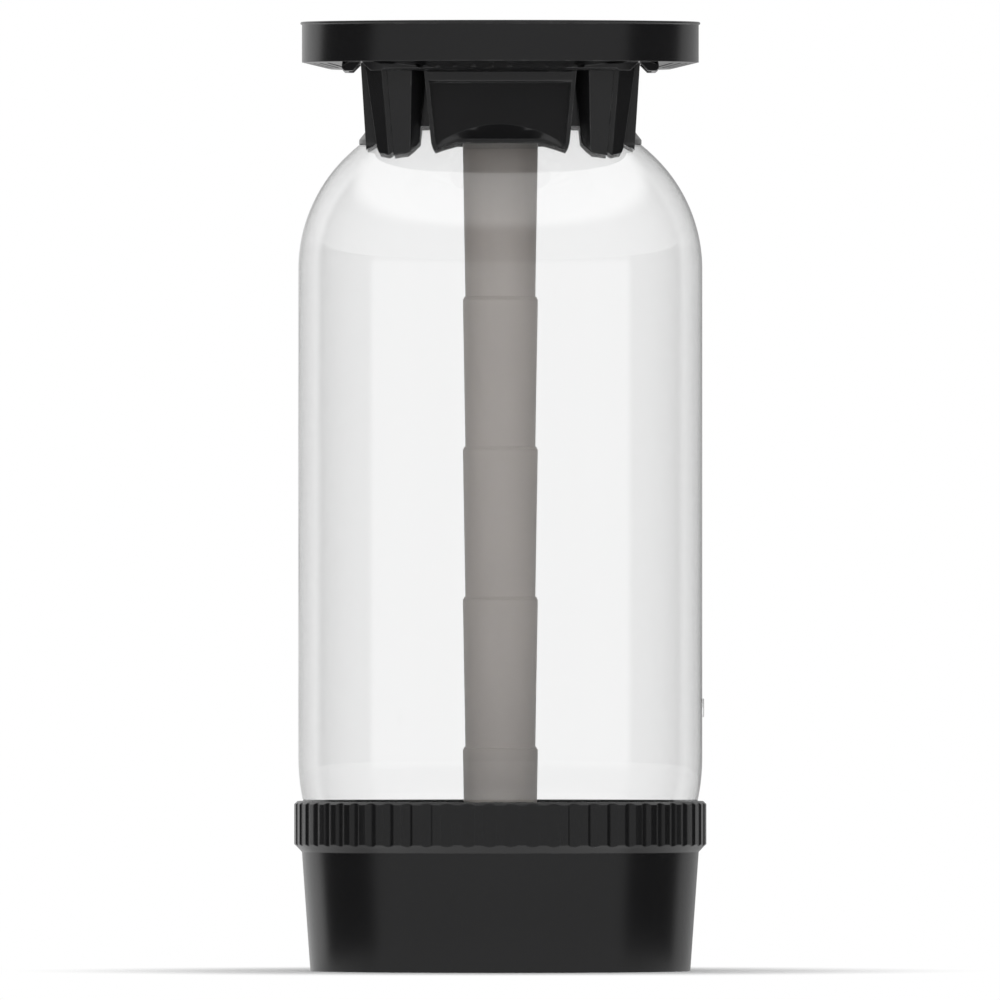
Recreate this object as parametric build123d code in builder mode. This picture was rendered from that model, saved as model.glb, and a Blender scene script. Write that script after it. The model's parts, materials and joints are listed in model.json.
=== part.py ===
from build123d import *
import os
from math import acos, atan, atan2, cos, degrees, radians, sin, sqrt, tan

os.makedirs("parts", exist_ok=True)

# One-way plastic keg: a blown bottle, a moulded base cup, a moulded handle and a two-way valve with a
# plugged spear tube. Millimetres, +Z up, origin on the floor under the middle of the base.

# Bottle
BOTTLE_R = 120.1
BOTTLE_WALL = 1.0
BOTTLE_LIFT = 6.6  # lowest point of the bottle above the floor
BARREL_LENGTH = 290.7
KNUCKLE_INSET = 27.1  # centre of the arc between the barrel and the crown, from the axis
CROWN_LIFT = 11.0  # top of the crown above that arc's own top
NECK_R = 27.5
NECK_BORE_R = 23.5
NECK_RING_R = 34.0
NECK_RING_T = 3.0
NECK_FINISH = 20.6  # from the top of the neck ring to the rim
MARK_R = 5.5  # shallow round boss low on the barrel, on the +X side
MARK_PROUD = 1.0
MARK_Z = 156.5

# Base cup
CUP_DRAFT = 5.0  # the foot's radius under that of the top of the cup
CUP_STEP = 4.5  # the cup's top radius under that of the collar
CUP_HEIGHT = 70.8
CUP_WALL = 2.3
COLLAR_LOW_Z = 73.7
COLLAR_TOP_Z = 101.1
COLLAR_CHAMFER = 1.8
COLLAR_WALL = 2.4
RIM_T = 2.2  # inward lip on top of the collar
FOOT_FLANGE = 18.0
FOOT_T = 2.5
FLUTE_COUNT = 60
FLUTE_R = 9.0
FLUTE_DEPTH = 1.0
RIB_COUNT = 12
RIB_T = 2.2
RIB_CLEAR_Z = 5.0  # underside of the ribs, clear of the valve of a keg below
HUB_R = 38.0
HUB_WALL = 2.2
SEAT_GAP = 0.3  # between the bottle and what it rests against

# Handle: ring, trough and well
HANDLE_RISE = 40.0  # from the neck ring to the top of the ring
NEST_GAP = 2.2  # round the foot of a keg stacked on top
RING_WALL = 2.8
BEAD_R = 0.9
SKIRT_DEPTH = 24.1
SHEET_T = 2.6
SHEET_DROP = 4.1  # flat of the trough below the edge of the skirt
SLOPE_W = 17.0
TROUGH_RIBS = 24
TROUGH_RIB_T = 1.8
TROUGH_RIB_DROP = 6.9  # below the top of the ring
TROUGH_W = 43.0  # from the outside of the ring to the four flat sides of the well
NEST_STEP = 0.6  # the ring is thicker below the seat for the keg above
WELL_FLAT = 22.0  # half of each flat side of the well
WELL_WALL = 2.4
WELL_DROP = 8.0  # top of the well wall below the top of the ring
WELL_HEM = 22.5  # well wall below its floor
FLOOR_T = 2.5
DRAIN_COUNT = 8
DRAIN_INSET = 20.0  # from the well's flat sides to the middle of the slots
DRAIN_LENGTH = 16.0
DRAIN_W = 5.0

# Handle: finger hooks, serration, pockets and posts
HOOK_GAP = 8.0  # from the well to the root of a hook
HOOK_REACH = 7.0  # from there to the middle of its bead
HOOK_BEAD_W = 5.0
HOOK_BEAD_DROP = 1.5
HOOK_RISE = 3.1
HOOK_ROUND = 0.9
GROOVES_PER_SIDE = 10
GROOVE_PITCH = 6.0  # degrees
GROOVE_W = 3.8
GROOVE_DEPTH = 1.3
POCKET_W = 91.6
POCKET_LOW_W = 80.8
POCKET_HEIGHT = 54.0
POCKET_PROUD = 7.9  # a pocket's front before the well, at its top
POCKET_LOW_PROUD = 4.5
POCKET_CORNER_R = 8.0
POCKET_RIM = 2.5
BAR_T = 6.5  # bar across the top of each pocket
BAR_GAP = 5.0  # from the underside of the trough to that bar
BAR_ROUND = 1.2
BAR_SETBACK = 1.6
PANEL_TOP_PROUD = 4.0
PANEL_PROUD = 2.0
SILL_DEPTH = 36.2  # from the trough down to the back of the sill
SILL_TIP_PROUD = 9.0
SILL_SLOPE = 52.0  # degrees
POST_PROUD = 23.0  # a post's ridge before the well's flat sides, at its top
POST_LOW_PROUD = 16.6
POST_HALF_W = 19.6
POST_LOW_HALF_W = 13.4
POST_HEIGHT = 55.2
POST_CHEVRON = 12.0  # degrees that each lobe turns away from the ridge
POST_NOTCH_W = 4.4
POST_NOTCH_DEPTH = 2.0
POST_CORNER_R = 7.0
POST_WALL = 2.4
POST_ROOT = 7.0

# Snap collar of the handle, round the neck ring
SNAP_GAP = 0.3
SNAP_WALL = 2.4
SNAP_HOOK = 1.4
SNAP_HOOK_T = 1.2
NECK_CLEAR = 0.6

# Valve
GASKET_T = 1.2
GASKET_INSET = 0.3
FLANGE_T = 2.0
HOUSING_GAP = 0.3  # between the housing and the neck bore
SPIGOT_LENGTH = 14.2
CHAMBER_R = 18.4
LEDGE_DEPTH = 48.0  # from the flange down to the spring ledge
LEDGE_T = 4.0
PORT_W = 10.0
PORT_H = 7.0
PORT_LIFT = 2.0
PORT_COUNT = 4
SPIGOT_WALL = 2.2
NECK_INSERT = 29.0  # how far the wide part of the housing reaches down the neck
CAP_GAP = 0.3
CAP_WALL = 3.4
CAP_PLATE_T = 2.4
CAP_SKIRT_GAP = 1.0  # above the floor of the well
CAP_GRIPS = 18
SEAT_LIP_R = 15.0
COUPLER_BORE_R = 17.0
COUPLER_WALL = 5.0
COUPLER_HEIGHT = 6.4
LUG_COUNT = 3
LUG_PROUD = 3.0
LUG_T = 2.6
LUG_ARC = 46.0  # degrees
GUIDE_GAP = 0.1  # sliding fits
SLEEVE_R = 11.0
SLEEVE_WALL = 2.0
SLEEVE_FLANGE_T = 3.3
SLEEVE_BELOW_LEDGE = 14.0
SLEEVE_TOP_DROP = 0.2  # top of the sleeve below the floor of the coupler bore
GAS_NOTCHES = 6
GAS_NOTCH_R = 2.2
SLEEVE_GASKET_T = 2.2
SLEEVE_GASKET_INSET = 0.8
SEAL_W = 1.6
SEAL_GROOVE_GAP = 0.05
PLUG_LIP_R = 6.5
PLUG_LIP_T = 2.4
PLUG_HEAD_T = 4.0
PLUG_PIN_R = 4.0
PLUG_SEAL_T = 1.5
PLUG_STEM_R = 3.2
PLUG_STEM_LENGTH = 14.0
PLUG_NOTCHES = 4
PLUG_NOTCH_R = 1.6
PRESS_GAP = 0.05
PLUG_SPRING_SEAT_T = 3.0
PLUG_SPRING_SEAT_BORE = 4.6
PLUG_SPRING_R = 6.2
SLEEVE_SPRING_R = 14.6
PLUG_SPRING_LENGTH = 32.0
SLEEVE_SPRING_WIRE = 1.8
SLEEVE_SPRING_TURNS = 6
PLUG_SPRING_WIRE = 1.2
PLUG_SPRING_TURNS = 6
SPRING_END_PITCH = 1.15  # pitch of a closed turn, in wire diameters
SPRING_STEPS = 10  # straight lengths in a turn

# Spear tube of plugged taper modules
MODULE_RIM_R = 22.3
MODULE_LOW_R = 20.8
MODULE_WALL = 1.45
TAPER_GAP = 0.05  # between a tapered end and the rim that it plugs into
MODULE_PLUG = 12.0
MODULE_COUNT = 5
SPEAR_DROP = 56.2  # rim of the first module below the rim of the neck
MODULE_STOP_R = 21.7
MODULE_STOP_T = 1.2
FOOT_GAP = 3.2  # spear foot above the bottom of the bottle
SPEAR_FOOT_LENGTH = 32.0
FOOT_SLOTS = 6
FOOT_SLOT_W = 5.0
FOOT_SLOT_H = 12.0

# Radii and distances from the axis that follow from the sizes above
KNUCKLE_R = BOTTLE_R - KNUCKLE_INSET
SHOULDER_RISE = KNUCKLE_R + CROWN_LIFT
COLLAR_R = BOTTLE_R + COLLAR_WALL
CUP_TOP_R = COLLAR_R - CUP_STEP
FOOT_R = CUP_TOP_R - CUP_DRAFT
TROUGH_R = FOOT_R + NEST_GAP
RING_R = TROUGH_R + RING_WALL
SLOPE_END_R = RING_R - SLOPE_W
WELL_D = RING_R - TROUGH_W
WELL_CORNER_R = WELL_D - WELL_FLAT
HOOK_ROOT_D = WELL_D + HOOK_GAP
HOOK_BEAD_D = HOOK_ROOT_D + HOOK_REACH
POCKET_D = WELL_D + POCKET_PROUD
POCKET_LOW_D = WELL_D + POCKET_LOW_PROUD
PANEL_TOP_D = WELL_D + PANEL_TOP_PROUD
PANEL_D = WELL_D + PANEL_PROUD
SILL_TIP_R = WELL_D + SILL_TIP_PROUD
POST_RIDGE_R = WELL_D + POST_PROUD
POST_LOW_RIDGE_R = WELL_D + POST_LOW_PROUD
POST_ROOT_D = WELL_D + POST_ROOT

# Heights that follow
BARREL_LOW_Z = BOTTLE_LIFT + BOTTLE_R
SHOULDER_Z = BARREL_LOW_Z + BARREL_LENGTH
CROWN_Z = SHOULDER_Z + SHOULDER_RISE
NECK_RING_Z = CROWN_Z
FLOOR_Z = NECK_RING_Z + NECK_RING_T
NECK_TOP_Z = FLOOR_Z + NECK_FINISH
RING_TOP_Z = FLOOR_Z + HANDLE_RISE
SKIRT_Z = RING_TOP_Z - SKIRT_DEPTH
SHEET_Z = SKIRT_Z - SHEET_DROP
INNER_SHEET_Z = SHEET_Z + HOOK_RISE
WELL_TOP_Z = RING_TOP_Z - WELL_DROP
WELL_HEM_Z = FLOOR_Z - WELL_HEM
RIB_TOP_Z = RING_TOP_Z - TROUGH_RIB_DROP
SILL_TOP_Z = INNER_SHEET_Z - SILL_DEPTH

# The crown's radius makes it tangent to the knuckle, the arc between barrel and crown
CROWN_R = KNUCKLE_R + (KNUCKLE_INSET**2 + CROWN_LIFT**2) / (2 * CROWN_LIFT)
CROWN_CENTRE_Z = CROWN_Z - CROWN_R
KNUCKLE_ARC = degrees(atan2(CROWN_R - SHOULDER_RISE, KNUCKLE_INSET))


def crown_z(radius, grow=0.0):
    """Height of the crown at a radius, with its surface moved outwards by grow."""
    return CROWN_CENTRE_Z + sqrt((CROWN_R + grow) ** 2 - radius**2)


def bottle_outline(grow, top_r):
    """Outline of the bottle's body from its lowest point up to top_r on the crown."""
    crown_arc = degrees(acos(top_r / (CROWN_R + grow))) - KNUCKLE_ARC
    lowest = (0, BARREL_LOW_Z - BOTTLE_R - grow)
    bottom = JernArc(start=lowest, tangent=(1, 0), radius=BOTTLE_R + grow, arc_size=90)
    barrel = Line(bottom @ 1, (BOTTLE_R + grow, SHOULDER_Z))
    knuckle = JernArc(start=barrel @ 1, tangent=(0, 1), radius=KNUCKLE_R + grow, arc_size=KNUCKLE_ARC)
    return JernArc(
        start=knuckle @ 1, tangent=knuckle % 1, radius=CROWN_R + grow, arc_size=crown_arc
    )


# Bottle
with BuildPart() as bottle:
    with BuildSketch(Plane.XZ):
        with BuildLine():
            crown = bottle_outline(0, NECK_R)
            Polyline(
                crown @ 1,
                (NECK_R, NECK_RING_Z),
                (NECK_RING_R, NECK_RING_Z),
                (NECK_RING_R, FLOOR_Z),
                (NECK_R, FLOOR_Z),
                (NECK_R, NECK_TOP_Z),
                (0, NECK_TOP_Z),
                (0, BOTTLE_LIFT),
            )
        make_face()
    revolve(axis=Axis.Z)
    with BuildSketch(Plane.XZ):
        with BuildLine():
            inner_crown = bottle_outline(-BOTTLE_WALL, NECK_BORE_R)
            Polyline(
                inner_crown @ 1,
                (NECK_BORE_R, NECK_TOP_Z),
                (0, NECK_TOP_Z),
                (0, BOTTLE_LIFT + BOTTLE_WALL),
            )
        make_face()
    revolve(axis=Axis.Z, mode=Mode.SUBTRACT)
    with BuildSketch(Plane.YZ.offset(BOTTLE_R - BOTTLE_WALL / 2)):
        with Locations((0, MARK_Z)):
            Circle(MARK_R)
    extrude(amount=MARK_PROUD + BOTTLE_WALL / 2)
bottle.part.label = "bottle"


def cup_outer_r(height):
    """Radius of the tapered outside of the base cup at a height."""
    return FOOT_R + (CUP_TOP_R - FOOT_R) * height / CUP_HEIGHT


# Base cup: one web, repeated round the hub
with BuildPart() as web:
    with BuildSketch(Plane.XZ):
        with BuildLine():
            web_z = COLLAR_LOW_Z
            seat_r = BOTTLE_R + SEAT_GAP
            inner_end_r = HUB_R - HUB_WALL / 2
            outer_end_r = sqrt(seat_r**2 - (BARREL_LOW_Z - web_z) ** 2)
            inner_end = (inner_end_r, BARREL_LOW_Z - sqrt(seat_r**2 - inner_end_r**2))
            cradle = RadiusArc(inner_end, (outer_end_r, web_z), -seat_r)
            Polyline(
                cradle @ 1,
                (CUP_TOP_R - CUP_WALL / 2, web_z),
                (cup_outer_r(FOOT_T / 2) - CUP_WALL / 2, FOOT_T / 2),
                (FOOT_R - FOOT_FLANGE, FOOT_T / 2),
                (FOOT_R - FOOT_FLANGE, RIB_CLEAR_Z),
                (inner_end_r, RIB_CLEAR_Z),
                cradle @ 0,
            )
        make_face()
    extrude(amount=RIB_T / 2, both=True)

with BuildPart() as flute:
    with BuildSketch(Plane.XY.offset(COLLAR_LOW_Z - FLUTE_R)):
        with Locations((COLLAR_R - FLUTE_DEPTH + FLUTE_R, 0)):
            Circle(FLUTE_R)
    extrude(amount=COLLAR_TOP_Z - COLLAR_LOW_Z + 2 * FLUTE_R)

with BuildPart() as base_cup:
    rim_r = sqrt(BOTTLE_R**2 - (BARREL_LOW_Z - COLLAR_TOP_Z) ** 2) + SEAT_GAP
    collar_inner_r = COLLAR_R - COLLAR_WALL
    with BuildSketch(Plane.XZ):
        Polygon(
            (FOOT_R, 0),
            (CUP_TOP_R, CUP_HEIGHT),
            (COLLAR_R - COLLAR_CHAMFER, COLLAR_LOW_Z),
            (COLLAR_R, COLLAR_LOW_Z + COLLAR_CHAMFER),
            (COLLAR_R, COLLAR_TOP_Z - COLLAR_CHAMFER),
            (COLLAR_R - COLLAR_CHAMFER, COLLAR_TOP_Z),
            (rim_r, COLLAR_TOP_Z),
            (rim_r, COLLAR_TOP_Z - RIM_T),
            (collar_inner_r, COLLAR_TOP_Z - RIM_T),
            (collar_inner_r, COLLAR_LOW_Z),
            (CUP_TOP_R - CUP_WALL, CUP_HEIGHT),
            (cup_outer_r(FOOT_T) - CUP_WALL, FOOT_T),
            (FOOT_R - FOOT_FLANGE, FOOT_T),
            (FOOT_R - FOOT_FLANGE, 0),
            align=None,
        )
    revolve(axis=Axis.Z)
    with BuildSketch(Plane.XY.offset(RIB_CLEAR_Z)):
        Circle(HUB_R)
        Circle(HUB_R - HUB_WALL, mode=Mode.SUBTRACT)
    hub_top = BARREL_LOW_Z - sqrt(seat_r**2 - (HUB_R - HUB_WALL) ** 2)
    extrude(amount=hub_top - RIB_CLEAR_Z)
    with PolarLocations(0, RIB_COUNT):
        add(web.part)
    with PolarLocations(0, FLUTE_COUNT, start_angle=180 / FLUTE_COUNT):
        add(flute.part, mode=Mode.SUBTRACT)
base_cup.part.label = "base_cup"


# Handle: one of the four finger hooks, a straight lip that ends at the ring
trough_low_z = SHEET_Z + SHEET_T
hook_inner_d = HOOK_BEAD_D - HOOK_BEAD_W / 2
hook_outer_d = HOOK_BEAD_D + HOOK_BEAD_W / 2
bead_z = SHEET_Z - HOOK_BEAD_DROP

with BuildPart() as hook:
    with BuildSketch(Plane.XZ):
        with BuildLine():
            Polyline(
                (HOOK_ROOT_D, INNER_SHEET_Z),
                (hook_inner_d, bead_z),
                (hook_outer_d, bead_z),
                (hook_outer_d + HOOK_BEAD_DROP, SHEET_Z),
                (hook_outer_d + HOOK_BEAD_DROP, trough_low_z),
                (hook_outer_d, trough_low_z),
                (HOOK_ROOT_D, INNER_SHEET_Z + SHEET_T),
                close=True,
            )
        make_face()
        fillet(vertices().group_by(Axis.Y)[0], HOOK_ROUND)
    extrude(amount=RING_R, both=True)
    with BuildSketch(Plane.XY.offset(bead_z)):
        Circle(RING_R - RING_WALL / 2)
    extrude(amount=SKIRT_DEPTH, mode=Mode.INTERSECT)

# Handle: the hollow above the trough, with its ribs left standing
with BuildPart() as trough:
    with BuildSketch(Plane.XZ):
        with BuildLine():
            slope = SHEET_DROP / (RING_R - SLOPE_END_R)
            cell_r = TROUGH_R - NEST_STEP
            Polyline(
                (0, trough_low_z),
                (SLOPE_END_R, trough_low_z),
                (cell_r, trough_low_z + slope * (cell_r - SLOPE_END_R)),
                (cell_r, RIB_TOP_Z),
                (0, RIB_TOP_Z),
                close=True,
            )
        make_face()
    revolve(axis=Axis.Z)
    with BuildSketch(Plane.XY.offset(SHEET_Z)):
        Rectangle(2 * HOOK_ROOT_D, 2 * HOOK_ROOT_D)
    extrude(amount=HOOK_RISE + SHEET_T, mode=Mode.SUBTRACT)
    with PolarLocations(0, 4):
        add(hook.part, mode=Mode.SUBTRACT)
    with BuildSketch(Plane.XY.offset(SHEET_Z)):
        RectangleRounded(2 * WELL_D, 2 * WELL_D, WELL_CORNER_R)
        with PolarLocations(RING_R / 2, TROUGH_RIBS):
            Rectangle(RING_R, TROUGH_RIB_T)
    extrude(amount=RIB_TOP_Z - SHEET_Z, mode=Mode.SUBTRACT)


def pocket_outline(inset, top_z):
    """Front view of a pocket: a taper with two round lower corners, drawn in by inset."""
    taper = (POCKET_W - POCKET_LOW_W) / 2 / POCKET_HEIGHT
    low_z = INNER_SHEET_Z - POCKET_HEIGHT + inset
    half_top = POCKET_W / 2 - inset - taper * (INNER_SHEET_Z - top_z)
    half_low = POCKET_LOW_W / 2 - inset + taper * inset
    with BuildSketch(Plane.YZ) as outline:
        Polygon(
            (-half_top, top_z), (-half_low, low_z), (half_low, low_z), (half_top, top_z), align=None
        )
        fillet(outline.vertices().group_by(Axis.Y)[0], POCKET_CORNER_R - inset)
    return outline.sketch


def sill_z(radius):
    """Height of the sill's top at a radius: a cone round the axis of the keg."""
    return SILL_TOP_Z - (radius - PANEL_D) * tan(radians(SILL_SLOPE))


# Handle: one pocket, a box that stands on the shoulder
bar_top_z = INNER_SHEET_Z - BAR_GAP
bar_low_z = bar_top_z - BAR_T
pocket_low_z = INNER_SHEET_Z - POCKET_HEIGHT
pocket_slope = (POCKET_D - POCKET_LOW_D) / POCKET_HEIGHT
pocket_top_z = INNER_SHEET_Z + SHEET_T / 2

with BuildPart() as pocket:
    extrude(pocket_outline(0, pocket_top_z), amount=HOOK_BEAD_D)
    with BuildSketch(Plane.XZ):
        with BuildLine():
            bar_d = POCKET_D - pocket_slope * (INNER_SHEET_Z - bar_top_z)
            Polyline(
                (WELL_D - WELL_WALL, pocket_top_z),
                (POCKET_D, pocket_top_z),
                (POCKET_D, INNER_SHEET_Z),
                (POCKET_LOW_D, pocket_low_z),
                (WELL_D - WELL_WALL, pocket_low_z),
                close=True,
            )
        make_face()
    extrude(amount=POCKET_W, both=True, mode=Mode.INTERSECT)

# Handle: the flared sill, which follows the shoulder round the axis
with BuildPart() as sill:
    with BuildSketch(Plane.XZ):
        Polygon(
            (WELL_D, sill_z(WELL_D)),
            (SILL_TIP_R, sill_z(SILL_TIP_R)),
            (SILL_TIP_R, pocket_low_z),
            (WELL_D, pocket_low_z),
            align=None,
        )
    revolve(axis=Axis.Z)
    with BuildSketch(Plane.YZ.offset(WELL_D)):
        with Locations((0, SILL_TOP_Z)):
            Rectangle(POCKET_LOW_W - 2 * POCKET_RIM, POCKET_HEIGHT)
    extrude(amount=SILL_TIP_R, mode=Mode.INTERSECT)

# Handle: the hollow of one pocket, above its sill and under its bar
with BuildPart() as recess:
    extrude(pocket_outline(POCKET_RIM, bar_low_z), amount=HOOK_BEAD_D)
    with BuildSketch(Plane.XZ):
        with BuildLine():
            panel = ThreePointArc(
                (PANEL_TOP_D, bar_low_z),
                (PANEL_D, (bar_low_z + SILL_TOP_Z) / 2),
                (PANEL_D, SILL_TOP_Z),
            )
            Polyline(
                panel @ 1,
                (PANEL_D, pocket_low_z),
                (HOOK_BEAD_D, pocket_low_z),
                (HOOK_BEAD_D, bar_low_z),
                panel @ 0,
            )
        make_face()
    extrude(amount=POCKET_W, both=True, mode=Mode.INTERSECT)
    with BuildSketch(Plane.XZ):
        Polygon(
            (0, SILL_TOP_Z),
            (PANEL_D, SILL_TOP_Z),
            (PANEL_D + POCKET_HEIGHT, sill_z(PANEL_D + POCKET_HEIGHT)),
            (0, sill_z(PANEL_D + POCKET_HEIGHT)),
            align=None,
        )
    revolve(axis=Axis.Z, mode=Mode.SUBTRACT)
    with BuildSketch(Plane.XZ):
        Polygon(
            (bar_d - BAR_SETBACK, bar_top_z),
            (HOOK_BEAD_D, bar_top_z),
            (HOOK_BEAD_D, INNER_SHEET_Z),
            (bar_d - BAR_SETBACK, INNER_SHEET_Z),
            align=None,
        )
    extrude(amount=POCKET_W / 2 - POCKET_RIM, both=True)


def chevron(ridge_r, root_d):
    """Plan of a post: two lobes that turn away from a notched ridge, back to root_d."""
    reach = 2 * POST_HALF_W
    back = reach * tan(radians(POST_CHEVRON))
    half_notch = POST_NOTCH_W / 2
    return [
        (root_d, -reach),
        (ridge_r - back, -reach),
        (ridge_r, -half_notch),
        (ridge_r - POST_NOTCH_DEPTH, 0),
        (ridge_r, half_notch),
        (ridge_r - back, reach),
        (root_d, reach),
    ]


def post_solid(inset, root_d, low_z, top_z):
    """A post with its faces drawn in by inset, as seen from the corner of the ring."""
    drop = INNER_SHEET_Z - low_z
    lean = (POST_RIDGE_R - POST_LOW_RIDGE_R) / POST_HEIGHT
    taper = (POST_HALF_W - POST_LOW_HALF_W) / POST_HEIGHT
    with BuildPart() as solid:
        for height in (low_z, top_z):
            with BuildSketch(Plane.XY.offset(height)):
                ridge_r = POST_RIDGE_R - inset - lean * (INNER_SHEET_Z - height)
                Polygon(*chevron(ridge_r, root_d), align=None)
        loft()
        with BuildSketch(Plane.YZ) as outline:
            half_top = POST_HALF_W - inset - taper * (INNER_SHEET_Z - top_z)
            half_low = POST_HALF_W - inset - taper * drop
            Polygon(
                (-half_top, top_z),
                (-half_low, low_z),
                (half_low, low_z),
                (half_top, top_z),
                align=None,
            )
            fillet(outline.vertices().group_by(Axis.Y)[0], POST_CORNER_R - inset)
        extrude(amount=RING_R, mode=Mode.INTERSECT)
    return solid.part


# Handle: the small grooves under the slope of the ring
with BuildPart() as groove:
    pitch_angle = atan(slope)
    groove_plane = Plane(
        origin=(SLOPE_END_R + GROOVE_W / 2, 0, SHEET_Z + slope * GROOVE_W / 2),
        x_dir=(0, 1, 0),
        z_dir=(cos(pitch_angle), 0, sin(pitch_angle)),
    )
    with BuildSketch(groove_plane):
        Polygon((-GROOVE_W / 2, 0), (GROOVE_W / 2, 0), (0, GROOVE_DEPTH), align=None)
        with Locations((0, -GROOVE_DEPTH / 4)):
            Rectangle(GROOVE_W, GROOVE_DEPTH / 2)
    extrude(amount=TROUGH_R - SLOPE_END_R - GROOVE_W / 2)

half_span = GROOVE_PITCH * (GROOVES_PER_SIDE - 1) / 2
groove_turns = [
    Location((0, 0, 0), (0, 0, 90 * side - half_span + GROOVE_PITCH * step))
    for side in range(4)
    for step in range(GROOVES_PER_SIDE)
]

# Handle: the gap between a finger hook and the well, open from below
with BuildPart() as hook_gap:
    with BuildSketch(Plane.XZ):
        Polygon(
            (HOOK_ROOT_D, INNER_SHEET_Z), (hook_inner_d, bead_z), (HOOK_ROOT_D, bead_z), align=None
        )
    extrude(amount=RING_R, both=True)

# Handle: everything that the bottle's shoulder keeps clear
with BuildPart() as shoulder:
    with BuildSketch(Plane.XZ):
        with BuildLine():
            shoulder_top = bottle_outline(SEAT_GAP, NECK_R)
            Polyline(
                shoulder_top @ 1, (0, crown_z(NECK_R, SEAT_GAP)), (0, BOTTLE_LIFT - SEAT_GAP)
            )
        make_face()
    revolve(axis=Axis.Z)

post_low_z = INNER_SHEET_Z - POST_HEIGHT
post = post_solid(0, POST_ROOT_D, post_low_z, INNER_SHEET_Z + SHEET_T / 2)
post_core = post_solid(POST_WALL, POST_ROOT_D - POST_WALL, post_low_z - POST_WALL, INNER_SHEET_Z)
well_inner_d = WELL_D - WELL_WALL
snap_r = NECK_RING_R + SNAP_GAP
snap_low_z = NECK_RING_Z - SNAP_GAP - SNAP_HOOK_T

with BuildPart() as handle:
    with BuildSketch(Plane.XZ):
        with BuildLine():
            under = Polyline(
                (0, RIB_TOP_Z),
                (0, SHEET_Z),
                (SLOPE_END_R, SHEET_Z),
                (RING_R, SKIRT_Z),
                (RING_R, RING_TOP_Z - 2 * BEAD_R),
            )
            bead = ThreePointArc(
                under @ 1, (RING_R + BEAD_R, RING_TOP_Z - BEAD_R), (RING_R, RING_TOP_Z)
            )
            Polyline(bead @ 1, (TROUGH_R, RING_TOP_Z), (TROUGH_R, RIB_TOP_Z), under @ 0)
        make_face()
    revolve(axis=Axis.Z)
    with BuildSketch(Plane.XY.offset(SHEET_Z)):
        Rectangle(2 * HOOK_ROOT_D, 2 * HOOK_ROOT_D)
    extrude(amount=HOOK_RISE, mode=Mode.SUBTRACT)
    with PolarLocations(0, 4):
        add(hook_gap.part, mode=Mode.SUBTRACT)
        add(hook.part)
    with PolarLocations(0, 4, start_angle=45):
        add(post)
        add(post_core, mode=Mode.SUBTRACT)
    with PolarLocations(0, 4):
        add(pocket.part)
        add(sill.part)
    with BuildSketch(Plane.XY.offset(WELL_HEM_Z)):
        RectangleRounded(2 * WELL_D, 2 * WELL_D, WELL_CORNER_R)
    extrude(amount=WELL_TOP_Z - WELL_HEM_Z)
    add(trough.part, mode=Mode.SUBTRACT)
    with BuildSketch(Plane.XY.offset(FLOOR_Z + FLOOR_T)) as well_plan:
        RectangleRounded(2 * well_inner_d, 2 * well_inner_d, WELL_CORNER_R - WELL_WALL)
    extrude(amount=HANDLE_RISE, mode=Mode.SUBTRACT)
    with BuildSketch(Plane.XY.offset(FLOOR_Z)):
        add(well_plan.sketch_local)
    extrude(amount=-POCKET_HEIGHT, mode=Mode.SUBTRACT)
    with PolarLocations(0, 4):
        add(recess.part, mode=Mode.SUBTRACT)
    with Locations(*groove_turns):
        add(groove.part, mode=Mode.SUBTRACT)
    add(shoulder.part, mode=Mode.SUBTRACT)
    with BuildSketch(Plane.XZ):
        Polygon(
            (snap_r, FLOOR_Z),
            (snap_r, snap_low_z + SNAP_HOOK_T),
            (NECK_RING_R - SNAP_HOOK, snap_low_z + SNAP_HOOK_T),
            (NECK_RING_R - SNAP_HOOK / 2, snap_low_z),
            (snap_r + SNAP_WALL, snap_low_z),
            (snap_r + SNAP_WALL, FLOOR_Z),
            align=None,
        )
    revolve(axis=Axis.Z)
    with BuildSketch(Plane.XY.offset(FLOOR_Z)):
        Circle(NECK_R + NECK_CLEAR)
        with PolarLocations(WELL_D - DRAIN_INSET, DRAIN_COUNT):
            SlotOverall(DRAIN_LENGTH, DRAIN_W, rotation=90)
    extrude(amount=FLOOR_T, mode=Mode.SUBTRACT)
handle.part.label = "handle"

# Valve levels, stacked on the rim of the neck
flange_z = NECK_TOP_Z + GASKET_T
plate_z = flange_z + FLANGE_T
bore_floor_z = plate_z + CAP_PLATE_T
cap_top_z = bore_floor_z + COUPLER_HEIGHT
ledge_z = plate_z - LEDGE_DEPTH
spear_top_z = NECK_TOP_Z - SPEAR_DROP
foot_low_z = BOTTLE_LIFT + BOTTLE_WALL + FOOT_GAP
foot_rim_z = foot_low_z + SPEAR_FOOT_LENGTH
module_pitch = (spear_top_z - foot_rim_z) / MODULE_COUNT

with BuildPart() as neck_gasket:
    with BuildSketch(Plane.XY.offset(NECK_TOP_Z)):
        Circle(NECK_R - GASKET_INSET)
        Circle(NECK_BORE_R + GASKET_INSET, mode=Mode.SUBTRACT)
    extrude(amount=GASKET_T)
neck_gasket.part.label = "neck_gasket"

# Housing: hangs in the neck from its flange, holds the spring ledge, ends in the spigot
module_taper = (MODULE_RIM_R - MODULE_LOW_R) / module_pitch
spigot_r = MODULE_RIM_R - MODULE_WALL - TAPER_GAP
spigot_tip_r = spigot_r - module_taper * SPIGOT_LENGTH
spigot_low_z = spear_top_z - SPIGOT_LENGTH
spigot_bore_r = spigot_tip_r - SPIGOT_WALL
ledge_low_z = ledge_z - LEDGE_T
guide_r = SLEEVE_R + GUIDE_GAP
seal_low_z = ledge_z - (LEDGE_T + SEAL_W) / 2
insert_r = NECK_BORE_R - HOUSING_GAP

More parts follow.
